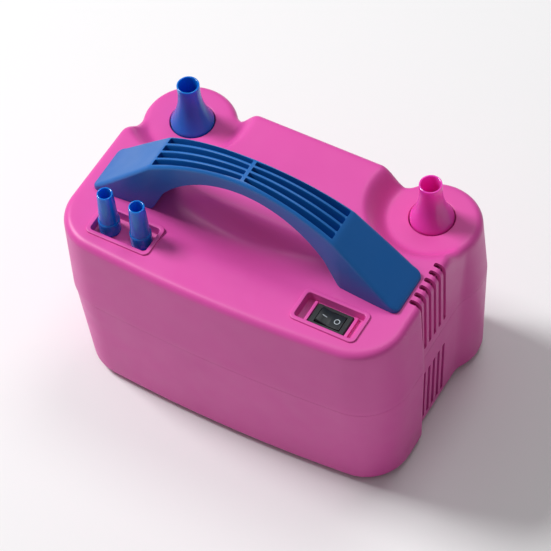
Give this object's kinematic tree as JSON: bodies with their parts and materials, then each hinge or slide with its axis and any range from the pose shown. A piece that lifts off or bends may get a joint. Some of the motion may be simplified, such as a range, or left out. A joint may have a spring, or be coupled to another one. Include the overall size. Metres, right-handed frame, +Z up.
{
  "type": "electric balloon inflator",
  "caption": "Portable mains balloon inflator: rounded case with an arched carry handle, sprung and fixed air nozzles, rocker switch and spare adapters.",
  "frame": {"origin": "centre of the bounding box's footprint, on the surface that the rubber feet stand on", "axes": "+X along the long side, from the sprung nozzle and spare adapters to the fixed nozzle and rocker switch; +Y to the back, where the nozzles and the cord inlet are; +Z up"},
  "size_m": [0.2122, 0.1424, 0.1765],
  "materials": {
    "case_pink": "satin moulded",
    "handle_blue": "fine moulded texture",
    "nozzle_blue": "moulded",
    "nozzle_pink": "moulded",
    "black_plastic": "moulded",
    "switch_black": "moulded",
    "rocker_black": "moulded, with printed state marks",
    "white_plastic": "moulded",
    "grey_plastic": "moulded",
    "red_plastic": "moulded",
    "rubber": "moulded",
    "steel": "zinc plated",
    "spring_steel": "drawn",
    "laminations": "stacked sheet",
    "copper": "enamelled wire or bare segments",
    "bronze": "turned or drawn",
    "brass_tabs": "stamped",
    "carbon": "pressed carbon",
    "aluminium": "pressed sheet"
  },
  "bodies": {
    "case": {"top_shell": "case_pink", "bottom_shell": "case_pink", "rubber_feet": "rubber", "case_screws": "steel", "handle": "handle_blue", "handle_screws": "steel", "auto_nozzle": "nozzle_pink", "nozzle_spring": "spring_steel", "nozzle_seals": "rubber", "microswitch": "black_plastic", "switch_housing": "switch_black", "switch_terminals": "brass_tabs", "cord_grommet": "black_plastic", "terminal_block": "white_plastic", "scroll_housing_left": "grey_plastic", "scroll_cover_left": "grey_plastic", "outlet_duct_left": "grey_plastic", "motor_bracket_left": "steel", "motor_bearings_left": "bronze", "stator_core_left": "laminations", "field_coils_left": "copper", "brush_holders_left": "bronze", "carbon_brushes_left": "carbon", "vibration_mounts_left": "rubber", "scroll_housing_right": "grey_plastic", "scroll_cover_right": "grey_plastic", "outlet_duct_right": "grey_plastic", "motor_bracket_right": "steel", "motor_bearings_right": "bronze", "stator_core_right": "laminations", "field_coils_right": "copper", "brush_holders_right": "bronze", "carbon_brushes_right": "carbon", "vibration_mounts_right": "rubber"},
    "press_nozzle": {"press_nozzle": "nozzle_blue"},
    "switch_lever": {"microswitch_lever": "spring_steel"},
    "switch_button": {"microswitch_button": "red_plastic"},
    "rocker": {"rocker": "rocker_black"},
    "adapter_a": {"spare_adapter_a": "nozzle_blue"},
    "adapter_b": {"spare_adapter_b": "nozzle_blue"},
    "rotor_left": {"motor_shaft_left": "steel", "armature_core_left": "laminations", "armature_winding_left": "copper", "commutator_left": "copper", "impeller_left": "aluminium", "impeller_nut_left": "steel"},
    "rotor_right": {"motor_shaft_right": "steel", "armature_core_right": "laminations", "armature_winding_right": "copper", "commutator_right": "copper", "impeller_right": "aluminium", "impeller_nut_right": "steel"}
  },
  "joints": [
    {"name": "press_nozzle_slide", "type": "slide", "parent": "case", "child": "press_nozzle", "axis": [0, 0, -1], "range_m": [0, 0.006], "stiffness_N_per_m": 400, "springref_m": -0.006, "deforming": ["nozzle_spring"]},
    {"name": "switch_lever_hinge", "type": "hinge", "parent": "case", "child": "switch_lever", "pos_m": [-0.0385, 0.0438, 0.084], "axis": [0, -1, 0], "range_deg": [0, 18.1]},
    {"name": "switch_button_slide", "type": "slide", "parent": "case", "child": "switch_button", "axis": [0, 0, -1], "range_m": [0, 0.0011]},
    {"name": "rocker_hinge", "type": "hinge", "parent": "case", "child": "rocker", "pos_m": [0.0637, -0.04715, 0.1185], "axis": [0, -1, 0], "range_deg": [0, 16]},
    {"name": "adapter_a_lift", "type": "slide", "parent": "case", "child": "adapter_a", "axis": [0, 0, 1], "range_m": [0, 0.04]},
    {"name": "adapter_b_lift", "type": "slide", "parent": "case", "child": "adapter_b", "axis": [0, 0, 1], "range_m": [0, 0.04]},
    {"name": "rotor_left_spin", "type": "hinge", "parent": "case", "child": "rotor_left", "pos_m": [-0.052, -0.005, 0.04], "axis": [0, 0, 1], "continuous": true},
    {"name": "rotor_right_spin", "type": "hinge", "parent": "case", "child": "rotor_right", "pos_m": [0.052, -0.005, 0.04], "axis": [0, 0, 1], "continuous": true}
  ],
  "couplings": [
    {"joint": "switch_lever_hinge", "follows": "press_nozzle_slide", "rad_per_m": 52.36},
    {"joint": "switch_button_slide", "follows": "press_nozzle_slide", "ratio": 0.1833}
  ]
}
